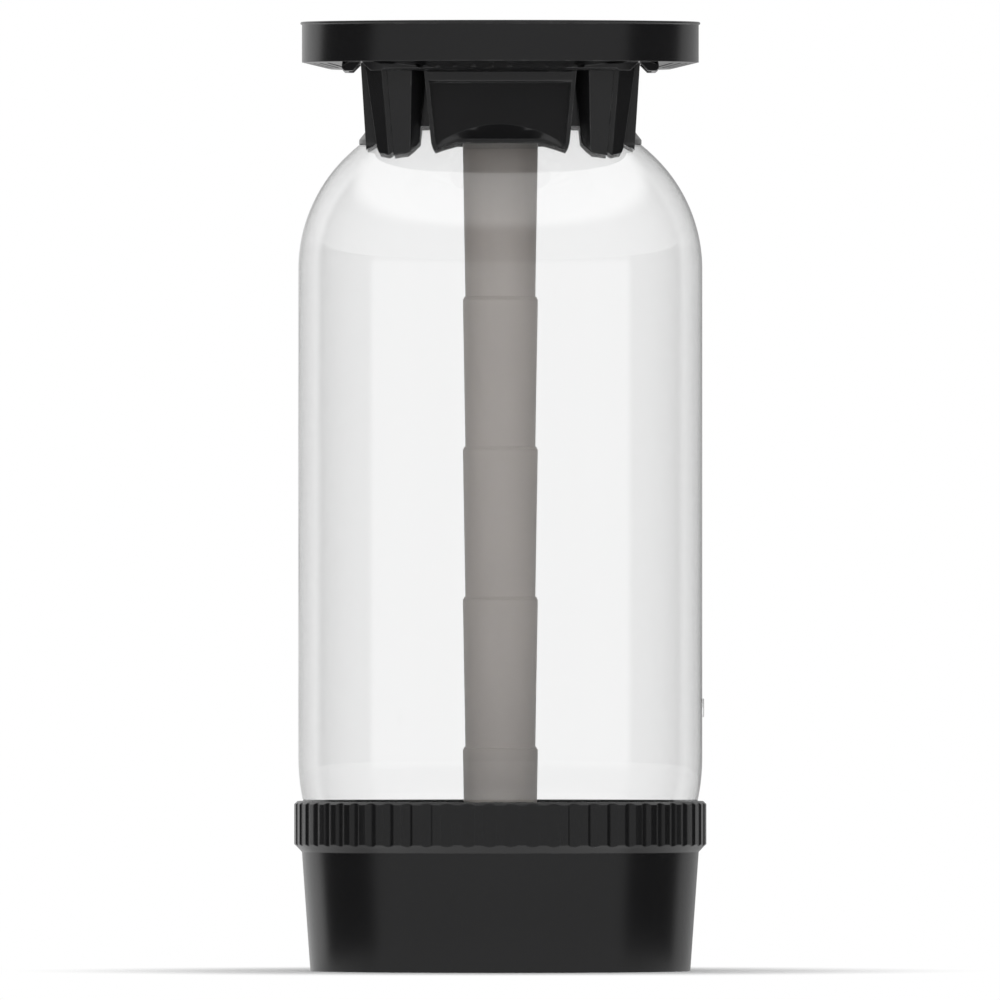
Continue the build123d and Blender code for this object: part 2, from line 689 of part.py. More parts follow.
with BuildPart() as valve_housing:
    with BuildSketch(Plane.XZ):
        Polygon(
            (CHAMBER_R, plate_z),
            (NECK_R - GASKET_INSET, plate_z),
            (NECK_R - GASKET_INSET, flange_z),
            (insert_r, flange_z),
            (insert_r, flange_z - NECK_INSERT),
            (MODULE_RIM_R, flange_z - NECK_INSERT - (insert_r - MODULE_RIM_R)),
            (MODULE_RIM_R, spear_top_z),
            (spigot_r, spear_top_z),
            (spigot_tip_r, spigot_low_z),
            (spigot_bore_r, spigot_low_z),
            (spigot_bore_r, ledge_low_z),
            (guide_r, ledge_low_z),
            (guide_r, seal_low_z),
            (guide_r + SEAL_W, seal_low_z),
            (guide_r + SEAL_W, seal_low_z + SEAL_W),
            (guide_r, seal_low_z + SEAL_W),
            (guide_r, ledge_z),
            (CHAMBER_R, ledge_z),
            align=None,
        )
    revolve(axis=Axis.Z)
    with BuildSketch(Plane.YZ):
        with Locations((0, ledge_z + PORT_LIFT + PORT_H / 2)):
            RectangleRounded(PORT_W, PORT_H, PORT_H / 4)
    with PolarLocations(0, PORT_COUNT):
        extrude(amount=NECK_R, mode=Mode.SUBTRACT)
valve_housing.part.label = "valve_housing"

with BuildPart() as guide_seal:
    with BuildSketch(Plane.XZ):
        with Locations((guide_r - GUIDE_GAP / 2 + SEAL_W / 2, seal_low_z + SEAL_W / 2)):
            Rectangle(SEAL_W - 2 * SEAL_GROOVE_GAP, SEAL_W - 2 * SEAL_GROOVE_GAP)
    revolve(axis=Axis.Z)
guide_seal.part.label = "guide_seal"

# Cap: screws down over the neck, holds the seat lip and the coupler's three lugs
with BuildPart() as valve_cap:
    skirt_r = NECK_R + CAP_GAP
    boss_r = COUPLER_BORE_R + COUPLER_WALL
    with BuildSketch(Plane.XZ):
        Polygon(
            (skirt_r, FLOOR_Z + FLOOR_T + CAP_SKIRT_GAP),
            (skirt_r + CAP_WALL, FLOOR_Z + FLOOR_T + CAP_SKIRT_GAP),
            (skirt_r + CAP_WALL, bore_floor_z - CAP_PLATE_T / 2),
            (skirt_r + CAP_WALL - CAP_PLATE_T / 2, bore_floor_z),
            (boss_r, bore_floor_z),
            (boss_r, cap_top_z),
            (COUPLER_BORE_R, cap_top_z),
            (COUPLER_BORE_R, bore_floor_z),
            (SEAT_LIP_R, bore_floor_z),
            (SEAT_LIP_R, plate_z),
            (skirt_r, plate_z),
            align=None,
        )
    revolve(axis=Axis.Z)
    with BuildSketch(Plane.XY.offset(cap_top_z - 1.5 * LUG_T)):
        with BuildLine():
            lug_inner = CenterArc((0, 0), boss_r - LUG_PROUD / 2, -LUG_ARC / 2, LUG_ARC)
            lug_outer = CenterArc((0, 0), boss_r + LUG_PROUD, -LUG_ARC / 2, LUG_ARC)
            Line(lug_inner @ 0, lug_outer @ 0)
            Line(lug_inner @ 1, lug_outer @ 1)
        make_face()
    with PolarLocations(0, LUG_COUNT, start_angle=30):
        extrude(amount=LUG_T)
    with BuildSketch(Plane.XY.offset(FLOOR_Z)):
        with PolarLocations(skirt_r + CAP_WALL + CAP_WALL / 6, CAP_GRIPS):
            Circle(CAP_WALL / 3)
    extrude(amount=bore_floor_z - FLOOR_Z - CAP_PLATE_T, mode=Mode.SUBTRACT)
valve_cap.part.label = "valve_cap"

# Gas sleeve: the outer valve, pushed down by the coupler
bore_r = SLEEVE_R - SLEEVE_WALL
slide_r = CHAMBER_R - GUIDE_GAP
sleeve_top_z = bore_floor_z - SLEEVE_TOP_DROP
lip_z = sleeve_top_z - PLUG_LIP_T
flange_top_z = plate_z - SLEEVE_GASKET_T
flange_low_z = flange_top_z - SLEEVE_FLANGE_T

with BuildPart() as gas_sleeve:
    with BuildSketch(Plane.XZ):
        Polygon(
            (bore_r, ledge_low_z - SLEEVE_BELOW_LEDGE),
            (SLEEVE_R, ledge_low_z - SLEEVE_BELOW_LEDGE),
            (SLEEVE_R, flange_low_z),
            (slide_r, flange_low_z),
            (slide_r, flange_top_z),
            (SLEEVE_R, flange_top_z),
            (SLEEVE_R, sleeve_top_z),
            (PLUG_LIP_R, sleeve_top_z),
            (PLUG_LIP_R, lip_z),
            (bore_r, lip_z),
            align=None,
        )
    revolve(axis=Axis.Z)
    with BuildSketch(Plane.XY.offset(flange_low_z)):
        with PolarLocations(slide_r, GAS_NOTCHES):
            Circle(GAS_NOTCH_R)
    extrude(amount=SLEEVE_FLANGE_T, mode=Mode.SUBTRACT)
gas_sleeve.part.label = "gas_sleeve"

with BuildPart() as sleeve_gasket:
    with BuildSketch(Plane.XY.offset(flange_top_z)):
        Circle(CHAMBER_R - SLEEVE_GASKET_INSET)
        Circle(SLEEVE_R + PRESS_GAP, mode=Mode.SUBTRACT)
    extrude(amount=SLEEVE_GASKET_T)
sleeve_gasket.part.label = "sleeve_gasket"

# Product plug: the inner valve, which closes the sleeve from below
head_top_z = lip_z - PLUG_SEAL_T
head_low_z = head_top_z - PLUG_HEAD_T

with BuildPart() as product_plug:
    with BuildSketch(Plane.XZ):
        Polygon(
            (0, head_low_z - PLUG_STEM_LENGTH),
            (PLUG_STEM_R, head_low_z - PLUG_STEM_LENGTH),
            (PLUG_STEM_R, head_low_z),
            (bore_r - GUIDE_GAP, head_low_z),
            (bore_r - GUIDE_GAP, head_top_z),
            (PLUG_PIN_R, head_top_z),
            (PLUG_PIN_R, sleeve_top_z),
            (0, sleeve_top_z),
            align=None,
        )
    revolve(axis=Axis.Z)
    with BuildSketch(Plane.XY.offset(head_low_z)):
        with PolarLocations(bore_r - GUIDE_GAP, PLUG_NOTCHES):
            Circle(PLUG_NOTCH_R)
    extrude(amount=PLUG_HEAD_T, mode=Mode.SUBTRACT)
product_plug.part.label = "product_plug"

with BuildPart() as plug_seal:
    with BuildSketch(Plane.XY.offset(head_top_z)):
        Circle(bore_r - SLEEVE_GASKET_INSET)
        Circle(PLUG_PIN_R + PRESS_GAP, mode=Mode.SUBTRACT)
    extrude(amount=PLUG_SEAL_T)
plug_seal.part.label = "plug_seal"

spring_seat_z = head_low_z - PLUG_SPRING_LENGTH
with BuildPart() as plug_spring_seat:
    with BuildSketch(Plane.XY.offset(spring_seat_z)):
        Circle(bore_r - PRESS_GAP)
        Circle(PLUG_SPRING_SEAT_BORE, mode=Mode.SUBTRACT)
    extrude(amount=-PLUG_SPRING_SEAT_T)
plug_spring_seat.part.label = "plug_spring_seat"


def coil(mean_r, wire_d, low_z, length, turns):
    """Compression spring with a closed turn at each end, its wire given six flat sides."""
    open_pitch = (length - wire_d - 2 * SPRING_END_PITCH * wire_d) / (turns - 2)
    with BuildPart() as spring:
        for step in range(turns * SPRING_STEPS + 1):
            turn = step / SPRING_STEPS
            open_turns = min(max(turn - 1, 0), turns - 2)
            closed_rise = SPRING_END_PITCH * wire_d * (turn - open_turns)
            height = low_z + wire_d / 2 + closed_rise + open_pitch * open_turns
            out = Vector(1, 0, 0).rotate(Axis.Z, 360 * turn)
            along = Vector(0, 1, 0).rotate(Axis.Z, 360 * turn)
            with BuildSketch(Plane(mean_r * out + Vector(0, 0, height), out, along)):
                RegularPolygon(wire_d / 2, 6, rotation=30)
        loft(ruled=True)
    return spring.part


sleeve_spring = coil(
    SLEEVE_SPRING_R, SLEEVE_SPRING_WIRE, ledge_z, flange_low_z - ledge_z, SLEEVE_SPRING_TURNS
)
sleeve_spring.label = "sleeve_spring"
plug_spring = coil(
    PLUG_SPRING_R, PLUG_SPRING_WIRE, spring_seat_z, PLUG_SPRING_LENGTH, PLUG_SPRING_TURNS
)
plug_spring.label = "plug_spring"

# Spear: tapered modules, each plugged into the rim of the next one down
spear_segments = []
for number in range(MODULE_COUNT):
    rim_z = spear_top_z - number * module_pitch
    next_rim_z = rim_z - module_pitch
    end_z = next_rim_z - MODULE_PLUG
    low_r = MODULE_LOW_R - module_taper * MODULE_PLUG
    with BuildPart() as spear_segment:
        with BuildSketch(Plane.XZ):
            Polygon(
                (MODULE_RIM_R - MODULE_WALL, rim_z),
                (MODULE_RIM_R, rim_z),
                (MODULE_LOW_R + module_taper * MODULE_STOP_T, next_rim_z + MODULE_STOP_T),
                (MODULE_STOP_R, next_rim_z + MODULE_STOP_T),
                (MODULE_STOP_R, next_rim_z),
                (MODULE_LOW_R, next_rim_z),
                (low_r, end_z),
                (low_r - MODULE_WALL, end_z),
                align=None,
            )
        revolve(axis=Axis.Z)
    spear_segment.part.label = f"spear_segment_{number + 1}"
    spear_segments.append(spear_segment.part)

foot_low_r = MODULE_RIM_R - module_taper * (foot_rim_z - foot_low_z)
with BuildPart() as spear_foot:
    with BuildSketch(Plane.XZ):
        Polygon(
            (MODULE_RIM_R - MODULE_WALL, foot_rim_z),
            (MODULE_RIM_R, foot_rim_z),
            (foot_low_r, foot_low_z),
            (foot_low_r - MODULE_WALL, foot_low_z),
            align=None,
        )
    revolve(axis=Axis.Z)
    with BuildSketch(Plane.YZ):
        with Locations((0, foot_low_z + FOOT_SLOT_H / 2)):
            Rectangle(FOOT_SLOT_W, FOOT_SLOT_H)
    with PolarLocations(0, FOOT_SLOTS):
        extrude(amount=MODULE_RIM_R, mode=Mode.SUBTRACT)
spear_foot.part.label = "spear_foot"

export_step(bottle.part, "parts/bottle.step")
export_step(base_cup.part, "parts/base_cup.step")
export_step(handle.part, "parts/handle.step")
export_step(neck_gasket.part, "parts/neck_gasket.step")
export_step(valve_housing.part, "parts/valve_housing.step")
export_step(guide_seal.part, "parts/guide_seal.step")
export_step(valve_cap.part, "parts/valve_cap.step")
export_step(gas_sleeve.part, "parts/gas_sleeve.step")
export_step(sleeve_gasket.part, "parts/sleeve_gasket.step")
export_step(sleeve_spring, "parts/sleeve_spring.step")
export_step(product_plug.part, "parts/product_plug.step")
export_step(plug_seal.part, "parts/plug_seal.step")
export_step(plug_spring, "parts/plug_spring.step")
export_step(plug_spring_seat.part, "parts/plug_spring_seat.step")
for segment in spear_segments:
    export_step(segment, f"parts/{segment.label}.step")
export_step(spear_foot.part, "parts/spear_foot.step")
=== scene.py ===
# %% [markdown]
# # A one-way plastic keg in Blender
# The real object is a clear blown bottle with a black base cup, a black handle ring and a
# grey spear tube that hangs in the middle from the valve. Its sizes and its moving parts
# come from a CAD model, so this lesson only dresses it: it loads the CAD parts as a fixed
# frame, makes finer pieces where the eye stops, and gives every part its plastic.

# %% Load the CAD parts
import json
import math

import bmesh
import bpy
from mathutils import Euler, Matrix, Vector

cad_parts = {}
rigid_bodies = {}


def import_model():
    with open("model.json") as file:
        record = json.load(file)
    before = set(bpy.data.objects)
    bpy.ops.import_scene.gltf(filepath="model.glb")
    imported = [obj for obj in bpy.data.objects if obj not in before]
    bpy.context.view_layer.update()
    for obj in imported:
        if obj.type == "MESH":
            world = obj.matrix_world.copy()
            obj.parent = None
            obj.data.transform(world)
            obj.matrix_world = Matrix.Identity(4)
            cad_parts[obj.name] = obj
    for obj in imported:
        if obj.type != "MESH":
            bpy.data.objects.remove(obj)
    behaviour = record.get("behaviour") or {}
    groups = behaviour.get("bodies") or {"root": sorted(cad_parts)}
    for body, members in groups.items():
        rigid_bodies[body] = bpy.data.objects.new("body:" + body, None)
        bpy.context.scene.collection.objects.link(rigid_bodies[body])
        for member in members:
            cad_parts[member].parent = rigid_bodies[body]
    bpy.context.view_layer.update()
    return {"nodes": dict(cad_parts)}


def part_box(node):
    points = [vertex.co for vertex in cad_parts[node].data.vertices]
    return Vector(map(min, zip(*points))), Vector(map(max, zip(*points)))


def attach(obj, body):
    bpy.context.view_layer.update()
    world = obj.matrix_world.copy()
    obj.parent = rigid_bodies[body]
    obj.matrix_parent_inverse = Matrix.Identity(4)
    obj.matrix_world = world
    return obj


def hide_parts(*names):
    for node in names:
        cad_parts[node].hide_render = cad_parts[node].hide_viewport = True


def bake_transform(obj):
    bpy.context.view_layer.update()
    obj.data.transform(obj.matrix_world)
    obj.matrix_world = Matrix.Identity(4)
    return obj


for old in list(bpy.data.objects):
    bpy.data.objects.remove(old)
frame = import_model()
nodes = frame["nodes"]

# %% [markdown]
# ## The camera
# The photograph is taken level with the middle of the keg and from very far away: the rims
# of the ring and of the foot are straight lines. A long lens does that. The lens and the
# width that the picture spans give the distance.

# %% Camera
PICTURE_WIDTH = 0.5947
PICTURE_MIDDLE = (-0.0002, 0.2801)
SENSOR = 36.0
LENS = 1600.0
distance = PICTURE_WIDTH * LENS / SENSOR

bpy.ops.object.camera_add(
    location=(PICTURE_MIDDLE[0], -distance, PICTURE_MIDDLE[1]),
    rotation=(math.pi / 2, 0, 0),
)
camera = bpy.context.object
camera.data.sensor_width = SENSOR
camera.data.lens = LENS
camera.data.clip_end = 4 * distance
bpy.context.scene.camera = camera
bpy.context.scene.view_settings.view_transform = "Standard"
print(f"camera {distance:.1f} m away")

# %% [markdown]
# ## Helpers for node trees
# Materials and the world are trees of nodes. Adding each node by hand takes many lines, so
# a few helpers do it: `put` adds any node and fills its sockets by name, or by number where
# two sockets share a name (`i0` is the first). The others are small sums that come back
# again and again.


# %% Add a node
def put(tree, kind, settings=None, **sockets):
    """Adds a node, sets its settings, and fills or links its sockets."""
    made = tree.nodes.new(kind)
    for name, value in (settings or {}).items():
        setattr(made, name, value)
    for name, value in sockets.items():
        by_number = name[0] == "i" and name[1:].isdigit()
        socket = made.inputs[int(name[1:]) if by_number else name.replace("_", " ")]
        if isinstance(value, bpy.types.NodeSocket):
            tree.links.new(value, socket)
        else:
            socket.default_value = value
    return made


# %% Sums in nodes
def maths(tree, operation, first, second, clamp=False):
    """A Math node's result."""
    settings = {"operation": operation, "use_clamp": clamp}
    return put(tree, "ShaderNodeMath", settings, i0=first, i1=second).outputs[0]


def ramp_up(tree, value, low, high):
    """0 below low, 1 above high and smooth between them."""
    settings = {"interpolation_type": "SMOOTHSTEP"}
    made = put(tree, "ShaderNodeMapRange", settings, Value=value, From_Min=low, From_Max=high)
    return made.outputs[0]


def stretch(tree, value, low, high):
    """A value from 0 to 1 brought between low and high."""
    made = put(tree, "ShaderNodeMapRange", Value=value, To_Min=low, To_Max=high)
    return made.outputs[0]


def blend_values(tree, share, first, second):
    """first where share is 0, second where it is 1."""
    made = put(tree, "ShaderNodeMix", {"data_type": "FLOAT"}, i0=share, i2=first, i3=second)
    return made.outputs[0]


# %% [markdown]
# ## The studio
# A clear bottle on white is lit by what it mirrors: a white wall behind it, dark flags at
# both sides that draw its edges, and a softer light in front. Here the world is that
# studio. Each light depends on the direction it comes from: x to the right, y from the
# front to the back, z upwards, each from -1 to 1. A pair of values says where one light
# ends and the next begins.

# %% The lights that the skins mirror
FRONT_LIGHT = 0.5
DARK_ABOVE = 0.1  # the gap between the front light and the light overhead
FLAG_LIGHT = 0.05
BACK_WALL = 0.68
BACK_WALL_RIGHT = 0.42
OVERHEAD = 1.0
BELOW = 1.0
FRONT_TOP = (0.05, 0.12)
FRONT_END = (-0.22, -0.12)
FLAGS_END = (0.56, 0.68)
WALL_MIDDLE = (-0.1, 0.1)
OVERHEAD_START = (0.45, 0.6)
BELOW_END = (-0.35, -0.25)

world = bpy.data.worlds.new("studio")
bpy.context.scene.world = world
world.use_nodes = True
sky = world.node_tree
sky.nodes.clear()
direction = put(sky, "ShaderNodeTexCoord").outputs["Generated"]
toward_right, toward_back, upward = put(
    sky, "ShaderNodeSeparateXYZ", Vector=direction
).outputs

front = blend_values(sky, ramp_up(sky, upward, *FRONT_TOP), FRONT_LIGHT, DARK_ABOVE)
right_half = ramp_up(sky, toward_right, *WALL_MIDDLE)
back = blend_values(sky, right_half, BACK_WALL, BACK_WALL_RIGHT)
mirrored = blend_values(sky, ramp_up(sky, toward_back, *FRONT_END), front, FLAG_LIGHT)
mirrored = blend_values(sky, ramp_up(sky, toward_back, *FLAGS_END), mirrored, back)
mirrored = blend_values(sky, ramp_up(sky, upward, *OVERHEAD_START), mirrored, OVERHEAD)
mirrored = blend_values(sky, ramp_up(sky, upward, *BELOW_END), BELOW, mirrored)
print("mirrored light takes", len(sky.nodes), "nodes")

# %% [markdown]
# A matt surface gathers light from a whole half of the world, so it needs wider lights: a
# lamp beside the camera, the wall and the light overhead. The camera itself, straight or
# through the clear wall, has not bounced off anything yet, and it sees plain white.

# %% The light on matt surfaces, and what the camera sees
LAMP = 2.6
FLAG_FILL = 0.08
SOFT_FILL = 1.15
LAMP_END = (-0.95, -0.5)
FILL_FLAGS_END = (0.55, 0.85)
FILL_OVERHEAD_START = (0.75, 0.95)
HALF_A_BOUNCE = 0.5

filling = blend_values(sky, ramp_up(sky, toward_back, *LAMP_END), LAMP, FLAG_FILL)
filling = blend_values(sky, ramp_up(sky, toward_back, *FILL_FLAGS_END), filling, SOFT_FILL)
filling = blend_values(sky, ramp_up(sky, upward, *FILL_OVERHEAD_START), filling, SOFT_FILL)

path = put(sky, "ShaderNodeLightPath").outputs
matt_ray = maths(sky, "MAXIMUM", path["Is Diffuse Ray"], path["Diffuse Depth"], clamp=True)
bounces = maths(sky, "ADD", path["Diffuse Depth"], path["Glossy Depth"])
light = blend_values(sky, matt_ray, mirrored, filling)
light = blend_values(sky, maths(sky, "LESS_THAN", bounces, HALF_A_BOUNCE), light, 1.0)
background = put(sky, "ShaderNodeBackground", Color=(1, 1, 1, 1), Strength=light)
sky.links.new(
    background.outputs[0], put(sky, "ShaderNodeOutputWorld").inputs["Surface"]
)
print("studio of", len(sky.nodes), "nodes")

# %% [markdown]
# ## The floor
# A pale disc catches the soft shadow under the foot. Away from the keg it fades to plain
# white for the camera only, so no horizon line shows. From below it lets the view through.


# %% Two helpers for materials
def new_material(name):
    """An empty material and its node tree."""
    material = bpy.data.materials.new(name)
    material.use_nodes = True
    material.node_tree.nodes.clear()
    return material, material.node_tree


def show(tree, shader):
    """Sends a shader to the surface."""
    tree.links.new(
        shader.outputs[0], put(tree, "ShaderNodeOutputMaterial").inputs["Surface"]
    )


# %% Floor
FLOOR_RADIUS = 3.0
FLOOR_FADE = (0.14, 0.3)  # metres from the axis

bpy.ops.mesh.primitive_circle_add(vertices=96, radius=FLOOR_RADIUS, fill_type="NGON")
floor = bpy.context.object
floor.name = "floor"
floor.visible_glossy = False

paper, tree = new_material("floor_paper")
where = put(tree, "ShaderNodeTexCoord").outputs["Object"]
away = put(tree, "ShaderNodeVectorMath", {"operation": "LENGTH"}, i0=where).outputs["Value"]
fibres = put(tree, "ShaderNodeTexNoise", Vector=where, Scale=300.0, Detail=3.0)
tone = stretch(tree, fibres.outputs["Fac"], 0.93, 0.96)
matt = put(tree, "ShaderNodeBsdfPrincipled", Base_Color=tone, Roughness=0.9)
white = put(tree, "ShaderNodeEmission", Strength=1.0)
camera_ray = put(tree, "ShaderNodeLightPath").outputs["Is Camera Ray"]
far = maths(tree, "MULTIPLY", ramp_up(tree, away, *FLOOR_FADE), camera_ray)
faded = put(tree, "ShaderNodeMixShader", i0=far, i1=matt.outputs[0], i2=white.outputs[0])
open_below = put(
    tree,
    "ShaderNodeMixShader",
    i0=put(tree, "ShaderNodeNewGeometry").outputs["Backfacing"],
    i1=faded.outputs[0],
    i2=put(tree, "ShaderNodeBsdfTransparent").outputs[0],
)
show(tree, open_below)
floor.data.materials.append(paper)
print("floor fades between", FLOOR_FADE, "m")

# %% [markdown]
# ## A low white card
# The sides of the cup lean in towards the foot, so they mirror what stands low round the
# keg. In the photograph the dark flags stop just above the foot. A bright band below the
# flags does that: a ring of card that only mirrored light can see.

# %% Low card
CARD_RADIUS = 0.3
CARD_TOP = -0.012
CARD_HEIGHT = 0.25
CARD_LIGHT = 0.55

bpy.ops.object.select_all(action="DESELECT")
bpy.ops.mesh.primitive_cylinder_add(
    vertices=64,
    radius=CARD_RADIUS,
    depth=CARD_HEIGHT,
    end_fill_type="NOTHING",
    location=(0, 0, CARD_TOP - CARD_HEIGHT / 2),
)
card = bpy.context.object
card.name = "low_card"
for ray_kind in ("camera", "diffuse", "transmission", "volume_scatter", "shadow"):
    setattr(card, f"visible_{ray_kind}", False)
glow, tree = new_material("low_card_glow")
show(tree, put(tree, "ShaderNodeEmission", Strength=CARD_LIGHT))
card.data.materials.append(glow)
print("card", CARD_HEIGHT, "m high")

# %% [markdown]
# ## One skin for all moulded plastic
# Every moulded part shares the same kind of skin: a very fine grain from the steel mould,
# slow changes of gloss where the melt cooled, and edges that are rubbed a little paler.
# A node group does that once, with its own values in each material.


# %% The skin's sockets
def group_socket(group, name, way, kind, value=None):
    """A named socket on a node group."""
    made = group.interface.new_socket(name=name, in_out=way, socket_type=kind)
    if value is not None:
        made.default_value = value


skin_group = bpy.data.node_groups.new("moulded_skin", "ShaderNodeTree")
group_socket(skin_group, "Color", "INPUT", "NodeSocketColor", (0.5, 0.5, 0.5, 1))
group_socket(skin_group, "Roughness", "INPUT", "NodeSocketFloat", 0.3)
group_socket(skin_group, "Grain", "INPUT", "NodeSocketFloat", 0.5)
group_socket(skin_group, "Grain Scale", "INPUT", "NodeSocketFloat", 1500.0)
group_socket(skin_group, "Rubbed", "INPUT", "NodeSocketFloat", 0.3)
group_socket(skin_group, "Color", "OUTPUT", "NodeSocketColor")
group_socket(skin_group, "Roughness", "OUTPUT", "NodeSocketFloat")
group_socket(skin_group, "Height", "OUTPUT", "NodeSocketFloat")
entry = put(skin_group, "NodeGroupInput").outputs
leave = put(skin_group, "NodeGroupOutput").inputs
print("the skin takes in", [socket.name for socket in entry if socket.name])

# %% [markdown]
# Three noises do the work: a grain that is finer than a hair, clouds as wide as a hand, and
# scuffs between them. A Bevel node finds the edges: where its rounded normal turns away
# from the real one, an edge is near, and the scuffs there become pale.

# %% The skin's grain, clouds and rubbed edges
CLOUD_SCALE = 18.0
SCUFF_SCALE = 90.0
RUBBED_WIDTH = 0.0012
RUBBED_COLOR = (0.16, 0.16, 0.16, 1)
RUBBED_ROUGHER = 0.3
EDGE_TURN = (0.8, 0.99)
SCUFF_SHARE = (0.4, 0.65)

place = put(skin_group, "ShaderNodeTexCoord").outputs["Object"]
grain = put(
    skin_group,
    "ShaderNodeTexNoise",
    Vector=place,
    Scale=entry["Grain Scale"],
    Detail=2.0,
).outputs["Fac"]
clouds = put(
    skin_group, "ShaderNodeTexNoise", Vector=place, Scale=CLOUD_SCALE, Detail=3.0
).outputs["Fac"]
scuffs = put(
    skin_group,
    "ShaderNodeTexNoise",
    Vector=place,
    Scale=SCUFF_SCALE,
    Detail=5.0,
    Roughness=0.7,
).outputs["Fac"]
bend = put(
    skin_group,
    "ShaderNodeVectorMath",
    {"operation": "DOT_PRODUCT"},
    i0=put(skin_group, "ShaderNodeBevel", {"samples": 4}, Radius=RUBBED_WIDTH).outputs[0],
    i1=put(skin_group, "ShaderNodeNewGeometry").outputs["Normal"],
).outputs["Value"]
edge = maths(skin_group, "SUBTRACT", 1.0, ramp_up(skin_group, bend, *EDGE_TURN))
worn = maths(skin_group, "MULTIPLY", edge, ramp_up(skin_group, scuffs, *SCUFF_SHARE))
worn = maths(skin_group, "MULTIPLY", worn, entry["Rubbed"], clamp=True)
tinted = put(
    skin_group,
    "ShaderNodeVectorMath",
    {"operation": "SCALE"},
    i0=entry["Color"],
    Scale=stretch(skin_group, clouds, 0.95, 1.05),
).outputs[0]
pale = put(
    skin_group,
    "ShaderNodeMix",
    {"data_type": "RGBA"},
    i0=worn,
    i6=tinted,
    i7=RUBBED_COLOR,
).outputs[2]
rough = maths(
    skin_group, "ADD", entry["Roughness"], stretch(skin_group, clouds, -0.04, 0.05)
)
rougher = maths(skin_group, "MULTIPLY", worn, RUBBED_ROUGHER)
rough = maths(skin_group, "ADD", rough, rougher, clamp=True)
height = maths(skin_group, "MULTIPLY", grain, entry["Grain"])
skin_group.links.new(pale, leave["Color"])
skin_group.links.new(rough, leave["Roughness"])
skin_group.links.new(height, leave["Height"])
print("skin group has", len(skin_group.nodes), "nodes")


# %% [markdown]
# ## The opaque plastics
# The ring, handle and cup are one black plastic with a semi-gloss face. The valve is made
# of a warm grey and a dark plastic with a satin face. All sharp corners of a moulding are
# a little round; the Bevel node bends the light there as a small radius would.


# %% Moulded plastics
def moulded_plastic(name, color, roughness, grain, grain_scale, rubbed, edge_radius):
    """A moulded plastic with the shared skin and softened corners."""
    material, tree = new_material(name)
    skin = put(
        tree,
        "ShaderNodeGroup",
        {"node_tree": skin_group},
        Color=(*color, 1),
        Roughness=roughness,
        Grain=grain,
        Grain_Scale=grain_scale,
        Rubbed=rubbed,
    ).outputs
    bump = put(
        tree,
        "ShaderNodeBump",
        Strength=0.25,
        Distance=0.0001,
        Height=skin["Height"],
        Normal=put(tree, "ShaderNodeBevel", {"samples": 6}, Radius=edge_radius).outputs[0],
    )
    shader = put(
        tree,
        "ShaderNodeBsdfPrincipled",
        Base_Color=skin["Color"],
        Roughness=skin["Roughness"],
        Normal=bump.outputs[0],
    )
    show(tree, shader)
    print(name, "has", len(tree.nodes), "nodes")
    return material


ring_black = moulded_plastic(
    "ring_black",
    color=(0.0075, 0.0075, 0.008),
    roughness=0.2,
    grain=0.5,
    grain_scale=1600.0,
    rubbed=0.25,
    edge_radius=0.0006,
)
valve_grey = moulded_plastic(
    "valve_grey",
    color=(0.42, 0.4, 0.38),
    roughness=0.35,
    grain=0.5,
    grain_scale=1200.0,
    rubbed=0.1,
    edge_radius=0.0003,
)
cap_dark = moulded_plastic(
    "cap_dark",
    color=(0.02, 0.02, 0.022),
    roughness=0.33,
    grain=0.8,
    grain_scale=1100.0,
    rubbed=0.3,
    edge_radius=0.0004,
)
seal_rubber = moulded_plastic(
    "seal_rubber",
    color=(0.012, 0.012, 0.012),
    roughness=0.7,
    grain=1.0,
    grain_scale=900.0,
    rubbed=0.0,
    edge_radius=0.0002,
)

# %% [markdown]
# ## Spring steel
# The two springs are wound from drawn stainless wire. Drawing leaves fine lines, which
# show as a soft change of roughness.

# %% Spring steel
spring_steel, tree = new_material("spring_steel")
place = put(tree, "ShaderNodeTexCoord").outputs["Object"]
drawn = put(tree, "ShaderNodeMapping", Vector=place, Scale=(1.0, 1.0, 12.0)).outputs[0]
lines = put(tree, "ShaderNodeTexNoise", Vector=drawn, Scale=500.0, Detail=3.0)
wire = put(
    tree,
    "ShaderNodeBsdfPrincipled",
    Base_Color=(0.6, 0.6, 0.61, 1),
    Roughness=stretch(tree, lines.outputs["Fac"], 0.18, 0.4),
    Metallic=1.0,
)
show(tree, wire)
print("spring steel has", len(tree.nodes), "nodes")

# %% [markdown]
# ## The clear bottle plastic
# Blown polyester is as clear as glass, with a higher index than acrylic and very slow
# waves in its face where the hot tube stretched. It is a real wall with two faces here,
# so the light does the rest: the edges darken because they mirror the dark flags.

# %% Clear plastic
PET_INDEX = 1.57

clear_wall, tree = new_material("clear_wall")
place = put(tree, "ShaderNodeTexCoord").outputs["Object"]
stretched = put(tree, "ShaderNodeMapping", Vector=place, Scale=(1.0, 1.0, 0.3)).outputs[0]
waves = put(tree, "ShaderNodeTexNoise", Vector=stretched, Scale=22.0, Detail=1.5)
haze = put(tree, "ShaderNodeTexNoise", Vector=place, Scale=60.0, Detail=4.0)
bump = put(
    tree, "ShaderNodeBump", Strength=0.3, Distance=0.0004, Height=waves.outputs["Fac"]
)
clear = put(
    tree,
    "ShaderNodeBsdfPrincipled",
    Base_Color=(0.995, 0.996, 0.996, 1),
    Roughness=stretch(tree, haze.outputs["Fac"], 0.0, 0.03),
    IOR=PET_INDEX,
    Transmission_Weight=1.0,
    Normal=bump.outputs[0],
)
show(tree, clear)
print("clear wall has", len(tree.nodes), "nodes")

# %% [markdown]
# ## The milky spear plastic
# The spear is natural, uncoloured plastic. A single wall lets some light through, so the
# tube is brightest in its middle and darker where two walls plug into each other.

